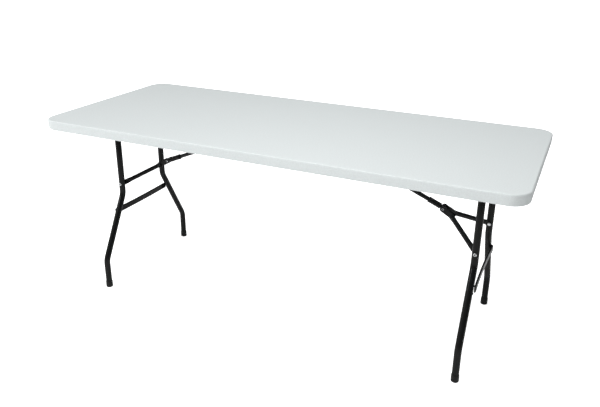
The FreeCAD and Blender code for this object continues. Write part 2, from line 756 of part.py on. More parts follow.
def make_arm(label, end, turn):
    """One arm of the yoke.  Origin on the knee, X towards the leg rivet, Y to the leg.

    Flat beside the strut, bent out, round along its slope, then flat again beside the leg.
    """
    body = new_body(label)
    first = (size("dims.knee_flat"), size(PLATE_Y))
    second = (size("dims.yoke_length - dims.tab_reach"), size(TAB_Y))
    slope = math.hypot(second[0] - first[0], second[1] - first[1])
    angle = math.degrees(math.atan2(second[1] - first[1], second[0] - first[0]))
    flat, taper = size("dims.arm_flat_run"), size("dims.arm_taper")

    def on_slope(distance):
        share = distance / slope
        return tuple(a + share * (b - a) for a, b in zip(first, second))

    def strip(name, line):
        path = new_sketch(body, f"{name}_line")
        add_rounded(path, [(str(x), str(y)) for x, y in line], "dims.arm_bend_radius")
        return path

    near_end, far_end = on_slope(flat), on_slope(slope - flat)
    knee_line = strip("knee", [(size("-dims.flat_end"), first[1]), first, near_end])
    flat_thick = "dims.arm_flat_thick"
    knee_flat = flat_section(body, "knee_flat", "-dims.flat_end", flat_thick, str(first[1]))
    pipe(body, knee_flat, knee_line)
    round_end(body, size("-dims.flat_end"))

    leg_end = size("dims.yoke_length + dims.flat_end")
    leg_line = strip("leg", [(leg_end, second[1]), second, far_end])
    leg_flat = flat_section(body, "leg_flat", str(leg_end), flat_thick, str(second[1]))
    middle = turned_sketch(body, "round_run", on_slope(flat + taper), angle)
    for inset in ("0", "dims.arm_wall"):
        add_circle(middle, "0", "0", f"dims.arm_diameter / 2 - {inset}")
    pad(body, middle, str(slope - 2 * (flat + taper)))
    for name, flat_spot, round_spot in (
        ("knee_taper", near_end, on_slope(flat + taper)),
        ("leg_taper", far_end, on_slope(slope - flat - taper)),
    ):
        wide = turned_sketch(body, f"{name}_from", flat_spot, angle)
        half = "dims.flat_tall / 2"
        add_rectangle(wide, f"-{flat_thick} / 2", f"{flat_thick} / 2", f"-{half}", half)
        circle = turned_sketch(body, f"{name}_to", round_spot, angle)
        add_circle(circle, "0", "0", "dims.arm_diameter / 2")
        loft(body, wide, circle)
    pipe(body, leg_flat, leg_line)
    round_end(body, leg_end)
    rivet_radius = "dims.rivet_diameter / 2 + dims.running_clearance"
    cross_hole(body, ["0", "dims.yoke_length"], rivet_radius)
    return keep(put(body, f"{end}dims.knee_across", "0", "dims.knee_height", turn))


def make_hub(name, end, turn):
    """The channel between the arms at the knee, open below so that the strut folds into it.

    Origin on the knee, X towards the leg rivet.  Its web stops short of the knee, so that the
    strut's end turns clear of it.
    """
    body = new_body(f"hub_channel_{name}")
    outer = f"({CHEEK_FACE_Y} + dims.hub_wall)"
    foot, roof = "-dims.flat_tall / 2", "dims.hub_top - dims.hub_wall"
    corners = [
        (f"-{outer}", foot), (f"-{CHEEK_FACE_Y}", foot), (f"-{CHEEK_FACE_Y}", roof),
        (CHEEK_FACE_Y, roof), (CHEEK_FACE_Y, foot), (outer, foot),
        (outer, "dims.hub_top"), (f"-{outer}", "dims.hub_top"),
    ]
    section = new_sketch(body, "channel", "YZ_Plane", "-dims.flat_end")
    add_polygon(section, corners)
    pad(body, section, "dims.flat_end + dims.hub_length")
    inner = new_sketch(body, "web_opening", level="dims.hub_top")
    add_rectangle(
        inner, "-2 * dims.flat_end", "dims.hub_relief", f"-{CHEEK_FACE_Y}", CHEEK_FACE_Y
    )
    pocket(body, inner, "dims.hub_top + dims.flat_tall / 2")
    relief = new_sketch(body, "web_relief", level="dims.hub_top")
    wide = f"({outer} + dims.hub_wall)"
    add_rectangle(relief, "-2 * dims.flat_end", "dims.hub_relief", f"-{wide}", wide)
    pocket(body, relief, "dims.hub_top - dims.flat_tall / 2")
    round_end(body, size("-dims.flat_end"))
    far = size("dims.hub_length")
    low = size("-dims.flat_tall / 2")

    def foot_corner(edge):
        return lies_at(edge, 0, far) and lies_at(edge, 2, low)

    fillet(body, "dims.hub_corner", foot_corner)
    cross_hole(body, ["0"], "dims.rivet_diameter / 2 + dims.running_clearance")
    return keep(put(body, f"{end}dims.knee_across", "0", "dims.knee_height", turn))


def make_knee(name, end, turn):
    """The rivet through both plates and the strut, and the spacers that keep them apart."""
    across, up = f"{end}dims.knee_across", "dims.knee_height"
    reach = f"({PLATE_Y} + dims.arm_flat_thick / 2)"
    body = new_body(f"knee_rivet_{name}")
    stem = new_sketch(body, "stem")
    add_circle(stem, "0", "0", "dims.rivet_diameter / 2")
    pad(body, stem, f"2 * {reach}", both_ways=True)
    for head_name, level in (("head", reach), ("tail", f"-{reach} - dims.knee_head_thick")):
        head = new_sketch(body, head_name, level=level)
        add_circle(head, "0", "0", "dims.knee_head_diameter / 2")
        pad(body, head, "dims.knee_head_thick")
    outer = size(f"{reach} + dims.knee_head_thick")
    fillet(body, "dims.rivet_head_round", lambda edge: lies_at(edge, 2, outer))
    fillet(body, "dims.rivet_head_round", lambda edge: lies_at(edge, 2, -outer))
    keep(put(body, across, "0", up, TO_FRONT))

    spacers = []
    thick = f"({CHEEK_FACE_Y} - dims.strut_diameter / 2 - dims.side_clearance)"
    for side_name, side in SIDES:
        spacer = new_body(f"spacer_{side_name}")
        ring = new_sketch(spacer, "ring", level=f"-{thick}")
        add_circle(ring, "0", "0", "dims.spacer_diameter / 2")
        add_circle(ring, "0", "0", "dims.rivet_diameter / 2 + dims.running_clearance")
        pad(spacer, ring, thick)
        facing = TO_FRONT if side_name == "front" else TO_REAR
        spacers.append(put(spacer, across, side + CHEEK_FACE_Y, up, facing))
    keep(group(f"knee_spacers_{name}", spacers))


def make_arm_rivets(name, end):
    """The inner heads of the leg rivets, on the yoke's tabs."""
    members = []
    for side_name, side in SIDES:
        turn = TO_REAR if side_name == "front" else TO_FRONT
        seat = f"{side}({TAB_FACE_Y} - dims.arm_flat_thick)"
        spot = (end + LEG_X, seat, "dims.rivet_height")
        members.append(make_plain_rivet(spot, turn))
    return keep(group(f"arm_rivets_{name}", members))


def make_plain_rivet(spot, turn):
    """A closed rivet head with a stem as long as a tab is thick."""
    body = new_body("arm_rivet")
    stem = new_sketch(body, "stem", level="-dims.arm_flat_thick")
    add_circle(stem, "0", "0", "dims.rivet_diameter / 2")
    pad(body, stem, "dims.arm_flat_thick")
    head = new_sketch(body, "head")
    add_circle(head, "0", "0", "dims.rivet_head_diameter / 2")
    pad(body, head, "dims.rivet_head_thick")
    outer = size("dims.rivet_head_thick")
    fillet(body, "dims.rivet_head_round", lambda edge: lies_at(edge, 2, outer))
    return put(body, *spot, turn)


# ---------------------------------------------------------------- the whole table
make_tabletop()
for side_name, side in SIDES:
    make_side_rail(side_name, side)
make_screws()
for end_name, end, turn in ENDS:
    make_strut_bracket(end_name, end)
    make_strut_pin(end_name, end)
    make_leg(f"rear_{end_name}", end, STRAIGHT)
    make_leg(f"front_{end_name}", end, ABOUT_Z)
    make_axle(end_name, end)
    caps = [make_axle_cap(end, "-", TO_FRONT), make_axle_cap(end, "", TO_REAR)]
    keep(group(f"axle_caps_{end_name}", caps))
    make_crossbar(end_name, end, turn)
    for side_name, side in SIDES:
        make_foot_cap(f"{side_name}_{end_name}", end, side)
    make_leg_rivets(end_name, end)
    make_strut(end_name, end, turn)
    make_lock_sleeve(end_name, end, turn)
    yoke_turn = turn * tilt("yoke_angle")
    rear_turn, front_turn = yoke_turn, yoke_turn * ABOUT_X
    if end == "-":
        rear_turn, front_turn = front_turn, rear_turn
    make_arm(f"arm_rear_{end_name}", end, rear_turn)
    make_arm(f"arm_front_{end_name}", end, front_turn)
    make_hub(end_name, end, yoke_turn)
    make_knee(end_name, end, turn)
    make_arm_rivets(end_name, end)

doc.recompute()
for item in doc.Objects:
    if "Invalid" in item.State or "Error" in item.State:
        raise RuntimeError(f"{item.Label}: {item.State}")
os.makedirs("parts", exist_ok=True)
for node in nodes:
    if node.Shape.isNull() or not node.Shape.isValid():
        raise RuntimeError(f"{node.Label}: bad shape")
for node in nodes:
    node.Shape.exportStep(f"parts/{node.Label}.step")
    box = node.Shape.BoundBox
    print(
        f"{node.Label}: {len(node.Shape.Solids)} solids, {node.Shape.Volume / 1000:.1f} cm3, "
        f"x {box.XMin:.1f}..{box.XMax:.1f} y {box.YMin:.1f}..{box.YMax:.1f} "
        f"z {box.ZMin:.1f}..{box.ZMax:.1f}"
    )
print(f"{len(nodes)} nodes;", ", ".join(f"{key} {value:.3f}" for key, value in BRACE.items()))
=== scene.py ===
# %% [markdown]
# A folding banquet table, dressed around its packed construction model.
# The construction model already holds every piece at its true size and place.
# This notebook models again what a mould, a press or a roller shapes more softly than plain
# construction solids do, and paints every finish with nodes.

# %% Load the frame
import json
import math

import bmesh
import bpy
import numpy as np
from mathutils import Matrix, Vector


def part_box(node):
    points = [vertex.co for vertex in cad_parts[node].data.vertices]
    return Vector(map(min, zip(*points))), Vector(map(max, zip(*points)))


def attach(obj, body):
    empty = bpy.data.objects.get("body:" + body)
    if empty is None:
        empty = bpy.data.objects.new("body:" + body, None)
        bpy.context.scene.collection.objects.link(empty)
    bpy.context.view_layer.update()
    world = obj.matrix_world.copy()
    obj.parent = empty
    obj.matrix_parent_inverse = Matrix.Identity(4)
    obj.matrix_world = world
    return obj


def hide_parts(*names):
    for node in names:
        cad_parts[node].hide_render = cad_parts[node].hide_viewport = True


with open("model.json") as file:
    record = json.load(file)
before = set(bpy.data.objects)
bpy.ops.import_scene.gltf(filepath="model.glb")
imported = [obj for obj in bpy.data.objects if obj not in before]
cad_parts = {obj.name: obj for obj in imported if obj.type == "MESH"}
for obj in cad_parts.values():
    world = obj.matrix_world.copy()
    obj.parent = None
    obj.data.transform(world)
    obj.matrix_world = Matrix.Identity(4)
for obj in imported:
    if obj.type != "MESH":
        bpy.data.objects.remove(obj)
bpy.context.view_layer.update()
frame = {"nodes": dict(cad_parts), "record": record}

# %% [markdown]
# The camera stands a little above eye level, off the right front corner, so that the long side
# runs away to the left. It is set by where it stands, how far it turns from the table's rear
# direction (azimuth), how far it looks down (elevation) and a slight roll. Building the camera's
# own axes from those three angles keeps the numbers readable, where a rotation matrix would not.

# %% Camera
CAMERA_PLACE = Vector((1.0279, -2.1879, 1.4331))
AZIMUTH, ELEVATION, ROLL = (math.radians(angle) for angle in (24.164, 21.390, 0.789))
LENS = 38.955
SHIFT = (-0.0083, -0.025)

forward = Vector((
    -math.sin(AZIMUTH) * math.cos(ELEVATION),
    math.cos(AZIMUTH) * math.cos(ELEVATION),
    -math.sin(ELEVATION),
))
level = Vector((math.cos(AZIMUTH), math.sin(AZIMUTH), 0))
upward = level.cross(forward)
right = math.cos(ROLL) * level + math.sin(ROLL) * upward
up = -math.sin(ROLL) * level + math.cos(ROLL) * upward

camera_data = bpy.data.cameras.new("camera")
camera_data.lens = LENS
camera_data.shift_x, camera_data.shift_y = SHIFT
camera_data.clip_end = 60
camera = bpy.data.objects.new("camera", camera_data)
turn = Matrix((right, up, -forward)).transposed().to_4x4()
camera.matrix_world = Matrix.Translation(CAMERA_PLACE) @ turn
bpy.context.scene.collection.objects.link(camera)
bpy.context.scene.camera = camera
print("camera looks along", tuple(round(v, 3) for v in forward))

# %% [markdown]
# A pale table on a pale floor needs light from everywhere and a clear direction as well, or the
# top and its rim would melt together. A bright world does the first job. A very wide, soft sun
# from above the left front corner makes the top brightest, the long rim a little darker and the
# right-hand rim darker again, evenly over the whole floor, which no lamp of finite size can do.
# The room itself is brighter on the left than on the right, for the same reason. One panel above
# the near side lifts the middle of the top, and a small lamp at the left draws thin bright lines
# on the dark tubes. The floor glows a little, like a light table, and more for the camera than
# for the table, so that it stays white without lighting the rim from below; the room's walls are
# white to the camera too. The colours are shown plainly, so that a pale floor stays pale.

# %% Floor and light
WORLD_STRENGTH = 0.575
WORLD_LEFT, WORLD_RIGHT = (0.98, 0.99, 1.0), (0.12, 0.122, 0.125)
SUN_STRENGTH = 1.48
SUN_PLACE = (-0.6, -0.7, 3.6)
SUN_ANGLE = math.radians(50)
PANEL_POWER, PANEL_SIZE = 11, 1.3
PANEL_PLACE, PANEL_TARGET = (0.35, -0.9, 2.1), (0.2, -0.1, 0.74)
GLINT_POWER, GLINT_SIZE = 36, 0.4
GLINT_PLACE, GLINT_TARGET = (-2.6, -2.4, 1.9), (0, 0, 0.4)
FLOOR_GLOW, FLOOR_SEEN = 0.24, 0.85


def add_light(name, kind, place, target, energy):
    """A lamp at a place that faces a point."""
    data = bpy.data.lights.new(name, kind)
    data.energy = energy
    lamp = bpy.data.objects.new(name, data)
    lamp.location = place
    lamp.rotation_euler = (Vector(target) - Vector(place)).to_track_quat("-Z", "Y").to_euler()
    bpy.context.scene.collection.objects.link(lamp)
    return data


world = bpy.data.worlds.new("studio")
world.use_nodes = True
nodes, links = world.node_tree.nodes, world.node_tree.links
way, parts = nodes.new("ShaderNodeTexCoord"), nodes.new("ShaderNodeSeparateXYZ")
reach, walls = nodes.new("ShaderNodeMapRange"), nodes.new("ShaderNodeValToRGB")
reach.inputs["From Min"].default_value = -1
walls.color_ramp.elements[0].color = (*WORLD_LEFT, 1)
walls.color_ramp.elements[1].color = (*WORLD_RIGHT, 1)
links.new(way.outputs["Generated"], parts.inputs["Vector"])
links.new(parts.outputs["X"], reach.inputs["Value"])
links.new(reach.outputs["Result"], walls.inputs["Fac"])
links.new(walls.outputs["Color"], nodes["Background"].inputs["Color"])
nodes["Background"].inputs["Strength"].default_value = WORLD_STRENGTH
seen_wall, mixed = nodes.new("ShaderNodeBackground"), nodes.new("ShaderNodeMixShader")
seen_wall.inputs["Color"].default_value = (1, 1, 1, 1)
links.new(nodes.new("ShaderNodeLightPath").outputs["Is Camera Ray"], mixed.inputs[0])
links.new(nodes["Background"].outputs[0], mixed.inputs[1])
links.new(seen_wall.outputs[0], mixed.inputs[2])
links.new(mixed.outputs[0], nodes["World Output"].inputs["Surface"])
bpy.context.scene.world = world
add_light("soft_sun", "SUN", SUN_PLACE, (0, 0, 0), SUN_STRENGTH).angle = SUN_ANGLE
panel = add_light("near_panel", "AREA", PANEL_PLACE, PANEL_TARGET, PANEL_POWER)
panel.shape, panel.size = "DISK", PANEL_SIZE
glint = add_light("left_glint", "AREA", GLINT_PLACE, GLINT_TARGET, GLINT_POWER)
glint.shape, glint.size = "DISK", GLINT_SIZE
bpy.context.scene.view_settings.view_transform = "Standard"

FLOOR_HALF = 30.0
floor_mesh = bpy.data.meshes.new("floor")
floor_signs = ((-1, -1), (1, -1), (1, 1), (-1, 1))
floor_corners = [(x * FLOOR_HALF, y * FLOOR_HALF, 0) for x, y in floor_signs]
floor_mesh.from_pydata(floor_corners, [], [(0, 1, 2, 3)])
floor = bpy.data.objects.new("floor", floor_mesh)
bpy.context.scene.collection.objects.link(floor)

# %% [markdown]
# Every finish is a small network of shader nodes. These helpers keep the networks short: one
# makes a material and hands back its main shader, one adds a node with its settings, and one
# gives noise that reads the object's own coordinates, so that the grain stays on the piece
# when the table folds.

# %% Finish helpers
def new_material(name, color, roughness, metallic=0.0):
    material = bpy.data.materials.new(name)
    material.use_nodes = True
    shader = material.node_tree.nodes["Principled BSDF"]
    shader.inputs["Base Color"].default_value = (*color, 1)
    shader.inputs["Roughness"].default_value = roughness
    shader.inputs["Metallic"].default_value = metallic
    return material, shader


def link(material, output, target):
    material.node_tree.links.new(output, target)


def noise(material, scale, detail=2.0, roughness=0.5):
    """Noise in the object's own coordinates; scale is in features per metre."""
    place = material.node_tree.nodes.new("ShaderNodeTexCoord")
    texture = material.node_tree.nodes.new("ShaderNodeTexNoise")
    for setting, value in (("Scale", scale), ("Detail", detail), ("Roughness", roughness)):
        texture.inputs[setting].default_value = value
    link(material, place.outputs["Object"], texture.inputs["Vector"])
    return texture.outputs["Fac"]


def ramp(material, value, *stops):
    """Turns a value into a colour; stops are (position, grey or colour), lowest first."""
    node = material.node_tree.nodes.new("ShaderNodeValToRGB")
    elements = node.color_ramp.elements
    while len(elements) < len(stops):
        elements.new(0.5)
    for element, (position, color) in zip(elements, stops):
        element.position = position
        element.color = (*color, 1) if isinstance(color, tuple) else (color, color, color, 1)
    link(material, value, node.inputs["Fac"])
    return node.outputs["Color"]


def add_bump(material, shader, height, strength, distance):
    node = material.node_tree.nodes.new("ShaderNodeBump")
    node.inputs["Strength"].default_value = strength
    node.inputs["Distance"].default_value = distance
    link(material, height, node.inputs["Height"])
    link(material, node.outputs["Normal"], shader.inputs["Normal"])


# %% [markdown]
# The top is blow-moulded polythene: cool white, satin, with a fine pebble from the mould that
# hides scratches, and a faint cloudiness where the resin cooled unevenly. Two sizes of noise do
# it, one for colour and one for the pebble, and a third makes the gloss wander slowly.

# %% Moulded plastic
def make_moulded_plastic():
    material, shader = new_material("moulded_plastic", (0.64, 0.675, 0.675), 0.48)
    cloud = noise(material, 240, 3)
    tint = ramp(material, cloud, (0.35, (0.622, 0.655, 0.653)), (0.65, (0.658, 0.695, 0.695)))
    link(material, tint, shader.inputs["Base Color"])
    gloss = ramp(material, noise(material, 9, 2), (0.3, 0.56), (0.7, 0.66))
    link(material, gloss, shader.inputs["Roughness"])
    shader.inputs["Specular IOR Level"].default_value = 0.12
    add_bump(material, shader, noise(material, 620, 2), 0.22, 0.0005)
    return material


# %% [markdown]
# The steel is powder-coated near black. Baked powder is not quite flat: it has a fine orange
# peel that breaks highlights into flecks. Close noise drives both the bump and a slight change
# of colour, and the roughness stays low enough for a thin bright line along each tube.

# %% Powder coat
def make_powder_coat():
    material, shader = new_material("powder_coat", (0.006, 0.0065, 0.0065), 0.34)
    shader.inputs["Specular IOR Level"].default_value = 0.05
    shader.inputs["Coat Weight"].default_value = 0.2
    shader.inputs["Coat Roughness"].default_value = 0.16
    fleck = ramp(material, noise(material, 800, 2), (0.42, 0.004), (0.66, (0.0085, 0.0092, 0.0092)))
    link(material, fleck, shader.inputs["Base Color"])
    gloss = ramp(material, noise(material, 35, 3), (0.35, 0.31), (0.7, 0.43))
    link(material, gloss, shader.inputs["Roughness"])
    add_bump(material, shader, noise(material, 520, 3), 0.3, 0.0005)
    return material


# %% [markdown]
# Feet, axle plugs and the sliding lock are injection-moulded black plastic, duller than the
# coat and with a finer grain. Rivets, pins and screws are zinc-plated steel: metal with a
# cloudy, slightly varied grey that a single colour would miss.

# %% Black plastic and zinc
def make_black_plastic():
    material, shader = new_material("black_plastic", (0.005, 0.005, 0.0053), 0.5)
    shader.inputs["Specular IOR Level"].default_value = 0.2
    wear = ramp(material, noise(material, 60, 3), (0.4, 0.42), (0.7, 0.58))
    link(material, wear, shader.inputs["Roughness"])
    tint = ramp(material, noise(material, 300, 2), (0.4, 0.004), (0.7, 0.0065))
    link(material, tint, shader.inputs["Base Color"])
    add_bump(material, shader, noise(material, 900, 2), 0.18, 0.0003)
    return material


def make_zinc_plate():
    material, shader = new_material("zinc_plate", (0.66, 0.67, 0.68), 0.3, metallic=1.0)
    cloud = ramp(
        material, noise(material, 240, 3), (0.3, (0.55, 0.56, 0.57)), (0.7, (0.74, 0.75, 0.76))
    )
    link(material, cloud, shader.inputs["Base Color"])
    brushed = ramp(material, noise(material, 900, 2), (0.3, 0.24), (0.7, 0.38))
    link(material, brushed, shader.inputs["Roughness"])
    return material


def make_floor_paint():
    material, shader = new_material("floor_paint", (0.93, 0.93, 0.93), 0.9)
    shader.inputs["Emission Color"].default_value = (1, 1, 1, 1)
    path = material.node_tree.nodes.new("ShaderNodeLightPath")
    glow = material.node_tree.nodes.new("ShaderNodeMapRange")
    glow.inputs["To Min"].default_value = FLOOR_GLOW
    glow.inputs["To Max"].default_value = FLOOR_SEEN
    link(material, path.outputs["Is Camera Ray"], glow.inputs["Value"])
    link(material, glow.outputs["Result"], shader.inputs["Emission Strength"])
    shade = ramp(material, noise(material, 1.5, 2), (0.3, 0.925), (0.7, 0.935))
    link(material, shade, shader.inputs["Base Color"])
    return material


FINISHES = {
    "moulded_top": make_moulded_plastic(),
    "powder_coat": make_powder_coat(),
    "black_plastic": make_black_plastic(),
    "zinc_plate": make_zinc_plate(),
}
floor.data.materials.append(make_floor_paint())
SLOT_OF = {row["node"]: row["material_slot"] for row in frame["record"]["subparts"]}
for node, slot in SLOT_OF.items():
    mesh = frame["nodes"][node].data
    mesh.materials.clear()
    mesh.materials.append(FINISHES[slot])
print("finishes", sorted(FINISHES))

# %% [markdown]
# Every new piece is a set of grids of points. A grid has rows and columns, each little square of
# it becomes a face, and points that meet are merged, which closes seams, poles and joints
# between grids in one go. Faces are then turned outwards. This one helper makes the object,
# gives it the finish of the construction piece that it stands for, and lets it ride with the
# same moving body.

# %% From grids to pieces
MM = 0.001
MERGE = 0.004 * MM
CREASE = math.radians(42)


def make_piece(name, grids, body, *nodes):
    """Squares of points (i, j), (i, j+1), (i+1, j+1), (i+1, j) for every grid, sewn together."""
    points, corners, first = [], [], 0
    for grid in grids:
        rows, columns = grid.shape[:2]
        number = first + np.arange(rows * columns).reshape(rows, columns)
        squares = (number[:-1, :-1], number[:-1, 1:], number[1:, 1:], number[1:, :-1])
        corners.append(np.stack(squares, axis=-1).reshape(-1, 4))
        points.append(grid.reshape(-1, 3))
        first += rows * columns
    points, corners = np.concatenate(points), np.concatenate(corners)
    mesh = bpy.data.meshes.new(name)
    mesh.vertices.add(len(points))
    mesh.vertices.foreach_set("co", points.ravel())
    mesh.loops.add(corners.size)
    mesh.loops.foreach_set("vertex_index", corners.ravel())
    mesh.polygons.add(len(corners))
    mesh.polygons.foreach_set("loop_start", np.arange(0, corners.size, 4))
    mesh.update(calc_edges=True)
    return finish_piece(name, mesh, body, *nodes)


def finish_piece(name, mesh, body, *nodes):
    """Merges doubles, turns faces outwards, smooths, paints, and hides the construction pieces it
    replaces.
    """
    sewing = bmesh.new()
    sewing.from_mesh(mesh)
    bmesh.ops.remove_doubles(sewing, verts=sewing.verts, dist=MERGE)
    bmesh.ops.recalc_face_normals(sewing, faces=sewing.faces)
    loose = sum(1 for edge in sewing.edges if len(edge.link_faces) != 2)
    sewing.to_mesh(mesh)
    sewing.free()
    mesh.shade_smooth()
    mesh.set_sharp_from_angle(angle=CREASE)
    slot = SLOT_OF[nodes[0]]
    mesh.materials.append(FINISHES[slot])
    piece = bpy.data.objects.new(name, mesh)
    bpy.context.scene.collection.objects.link(piece)
    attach(piece, body)
    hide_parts(*nodes)
    print(f"{name}: {len(mesh.polygons)} faces, {loose} open edges, {slot}")
    return piece


# %% [markdown]
# Tubes, bars, rivets, caps and sleeves are all a section carried along a line. The section is a
# superellipse: with a power of 2 it is a round tube, and with a high power a flat strip with
# soft edges, so one formula can press a tube's end flat. A table of rows says, for each
# distance along the line, the half width, the half height and the power; a row of no size
# closes an end, and rows that run back inside give an open tube its wall.

# %% Sections along a line
def unit(vector):
    vector = np.asarray(vector, dtype=float)
    return vector / np.linalg.norm(vector)


def rows(distance, across, tall=None, power=2.0):
    """A table of rows (distance, half width, half height, power)."""
    tall = across if tall is None else tall
    return np.column_stack(np.broadcast_arrays(distance, across, tall, power)).astype(float)


def sections(centre, ahead, tall_way, table, around=40):
    """point = centre + side * width * cos^(2/power) + tall * height * sin^(2/power), signs kept."""
    angle = np.linspace(0, 2 * np.pi, around + 1)
    angle[-1] = 0
    cos, sin = np.cos(angle), np.sin(angle)
    exponent = 2 / table[:, 3:4]
    width = table[:, 1:2] * np.sign(cos) * np.abs(cos) ** exponent
    height = table[:, 2:3] * np.sign(sin) * np.abs(sin) ** exponent
    side = np.cross(tall_way, ahead)
    tall_way = np.broadcast_to(tall_way, side.shape)
    sideways = width[..., None] * side[:, None]
    return centre[:, None] + sideways + height[..., None] * tall_way[:, None]


def straight(start, ahead, tall_way, *tables, around=40):
    """Sections along a straight line from a start."""
    table = np.concatenate(tables)
    ahead = np.broadcast_to(unit(ahead), (len(table), 3))
    return sections(np.asarray(start) + table[:, :1] * ahead, ahead, unit(tall_way), table, around)


def bent_line(corners, radius, steps=14):
    """Straight runs through the corners with a tangent arc of one radius at each.

    arc point = centre + radius * (out * cos(t) + ahead * sin(t)), for t from none to the turn.
    Gives the length along, the point and the direction at every sample.
    """
    corners = np.asarray(corners, dtype=float)
    points, ways = [corners[:1]], [unit(corners[1] - corners[0])[None]]
    for before, corner, after in zip(corners, corners[1:], corners[2:]):
        into, onward = unit(corner - before), unit(after - corner)
        turned = math.acos(float(into @ onward))
        start = corner - into * radius * math.tan(turned / 2)
        centre = start + radius * unit(onward - into * (into @ onward))
        out = (start - centre) / radius
        t = np.linspace(0, turned, steps)[:, None]
        points.append(centre + radius * (out * np.cos(t) + into * np.sin(t)))
        ways.append(into * np.cos(t) - out * np.sin(t))
    points.append(corners[-1:])
    ways.append(unit(corners[-1] - corners[-2])[None])
    points, ways = np.concatenate(points), np.concatenate(ways)
    length = np.append(0, np.cumsum(np.linalg.norm(np.diff(points, axis=0), axis=1)))
    return length, points, ways


def along_line(line, tall_way, *tables, around=40):
    """Sections along a bent line; rows beyond its ends carry straight on."""
    length, points, ways = line
    table = np.concatenate(tables)
    place = table[:, 0]
    centre = np.stack([np.interp(place, length, points[:, axis]) for axis in range(3)], axis=1)
    ahead = np.stack([np.interp(place, length, ways[:, axis]) for axis in range(3)], axis=1)
    ahead /= np.linalg.norm(ahead, axis=1, keepdims=True)
    centre += ahead * (place - np.clip(place, 0, length[-1]))[:, None]
    return sections(centre, ahead, unit(tall_way), table, around)


def eased(count):
    """Steps from 0 to 1 that start and end gently: (1 - cos(pi t)) / 2."""
    return (1 - np.cos(np.pi * np.linspace(0, 1, count))) / 2


def middle(node):
    """The middle of a construction piece's box."""
    low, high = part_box(node)
    return (np.array(low) + np.array(high)) / 2


# %% [markdown]
# The top is one hollow moulding. Seen from outside it is a single skin: a flat field, a rounded
# edge, a deep rim that leans in a little so that it leaves the mould, a rounded foot, the rim's
# inner wall and the ribbed underside. All of it except the two fields is one profile carried
# round the outline: every point of an inner rectangle is pushed out square to that rectangle by
# the corner radius less an inset. Straight stretches keep their places and corners shrink.

# %% Outline of the top
top_low, top_high = (np.array(corner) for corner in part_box("tabletop"))
CORNER = 64 * MM
CELL_MM = 5.0
DIMPLE_CELLS = 8
half_inner = top_high[:2] - CORNER
tiles = np.round(2 * half_inner / (DIMPLE_CELLS * CELL_MM * MM)).astype(int)
grid_x = np.linspace(-half_inner[0], half_inner[0], tiles[0] * DIMPLE_CELLS + 1)
grid_y = np.linspace(-half_inner[1], half_inner[1], tiles[1] * DIMPLE_CELLS + 1)


def outline(per_corner=12):
    """Points of the inner rectangle, in order, and the way square out from each."""
    base, way = [], []
    for quarter in range(4):
        run = grid_x if quarter % 2 == 0 else grid_y
        reach = half_inner[1] if quarter % 2 == 0 else half_inner[0]
        side = np.column_stack((run, np.full(len(run), -reach)))
        corner = np.full((per_corner, 2), (run[-1], -reach))
        bend = np.linspace(0, np.pi / 2, per_corner + 2)[1:-1]
        out = np.concatenate((
            np.tile((0.0, -1.0), (len(run), 1)),
            np.column_stack((np.sin(bend), -np.cos(bend))),
        ))
        spin = np.array([[1, 0], [0, 1]], dtype=float)
        for _ in range(quarter):
            spin = np.array([[0, -1], [1, 0]], dtype=float) @ spin
        base.append(np.concatenate((side, corner)) @ spin.T)
        way.append(out @ spin.T)
    base, way = np.concatenate(base), np.concatenate(way)
    return np.concatenate((base, base[:1])), np.concatenate((way, way[:1]))


base, way = outline()
print("outline of", len(base), "points,", tiles, "dimple tiles")


# %% [markdown]
# The profile of the rim goes from the flat field outwards and round to the underside. Arcs give
# the top edge, the foot and the inner corners their radii. The camera catches the top edge as
# one thin bright line, so it has the most steps.

# %% Rim profile
def arc(centre_inset, centre_height, radius, start, finish, steps):
    """inset = centre + radius * cos(angle), height = centre + radius * sin(angle), in mm."""
    angle = np.radians(np.linspace(start, finish, steps))
    return np.column_stack((
        centre_inset + radius * np.cos(angle), centre_height + radius * np.sin(angle),
    ))


DEPTH_MM = (top_high[2] - top_low[2]) / MM
PANEL_MM = (top_high[2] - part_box("side_rail_front")[1][2]) / MM
rim = np.concatenate((
    [(CORNER / MM, 0), (42, 0), (22, 0), (9, 0)],
    arc(5.0, -5.0, 5.0, 90, 180, 10),
    [(0.15, -12), (0.6, -DEPTH_MM + 9)],
    arc(4.9, -DEPTH_MM + 4.0, 4.0, 180, 270, 7),
    [(8, -DEPTH_MM)],
    arc(10.0, -DEPTH_MM + 1.2, 1.2, 270, 340, 3),
    arc(13.0, -DEPTH_MM + 1.2, 1.2, 200, 270, 3),
    arc(16.6, -DEPTH_MM + 4.0, 4.0, 270, 360, 6),
    [(21.6, -PANEL_MM - 4.5)],
    arc(25.0, -PANEL_MM - 3.0, 3.0, 180, 90, 6),
    [(29, -PANEL_MM), (44, -PANEL_MM), (CORNER / MM, -PANEL_MM)],
))
push = CORNER - rim[:, 0] * MM
band = np.concatenate((
    base[None] + way[None] * push[:, None, None],
    np.broadcast_to((top_high[2] + rim[:, 1] * MM)[:, None, None], (len(rim), len(base), 1)),
), axis=2)
share = np.linspace(0, 1, 6)[:, None]
ridge = np.clip(base[:, 0], half_inner[1] - half_inner[0], half_inner[0] - half_inner[1])
field = np.stack((
    base[:, 0] + share * (ridge - base[:, 0]),
    base[:, 1] * (1 - share),
    np.full((6, len(base)), top_high[2]),
), axis=2)
print("rim profile of", len(rim), "rows,", round(DEPTH_MM), "mm deep")


# %% [markdown]
# Underneath, the mould presses the lower skin up against the upper one in rows of small
# dimples, which weld the two together and make a thin panel stiff. Each dimple sits in a tile
# of square cells. Inside a tile, square rings are pulled to circles, so that the grid's own
# lines follow the dimple's edge and stay crisp with few faces. Tiles under a rail or a bracket
# stay flat, because steel seats there.

